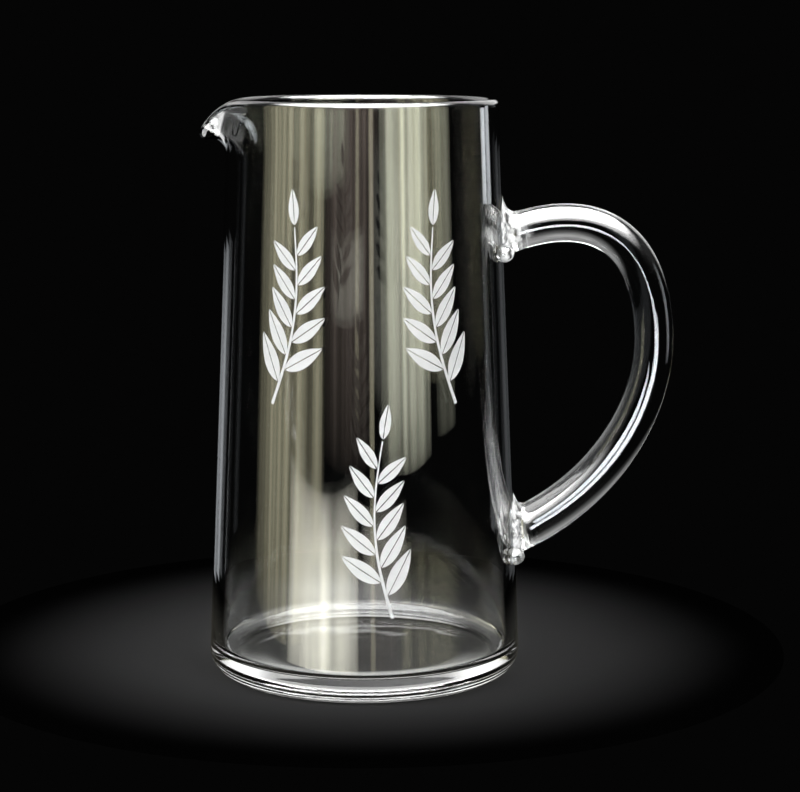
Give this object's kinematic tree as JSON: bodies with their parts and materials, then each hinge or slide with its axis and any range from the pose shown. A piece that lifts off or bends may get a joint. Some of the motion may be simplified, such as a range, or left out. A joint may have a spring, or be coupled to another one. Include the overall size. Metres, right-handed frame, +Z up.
{
  "type": "glass pitcher",
  "caption": "Tall clear glass pitcher with a wall that narrows upwards, a thick floor, a pulled pouring lip and an applied bent-rod handle on flared weld pads.",
  "frame": {"origin": "on the vessel's axis, at the flat underside that it stands on", "axes": "+Z up along the vessel's axis, +X towards the handle, -X towards the pouring lip"},
  "size_m": [0.1818, 0.121, 0.222],
  "materials": {
    "vessel_glass": "clear polished blown glass",
    "handle_glass": "clear fire-polished solid glass",
    "frosted_glass": "white frosted etch on the outside of the wall"
  },
  "bodies": {
    "root": {"vessel_body": "vessel_glass", "handle_rod": "handle_glass", "upper_handle_pad": "handle_glass", "lower_handle_pad": "handle_glass"}
  },
  "joints": []
}
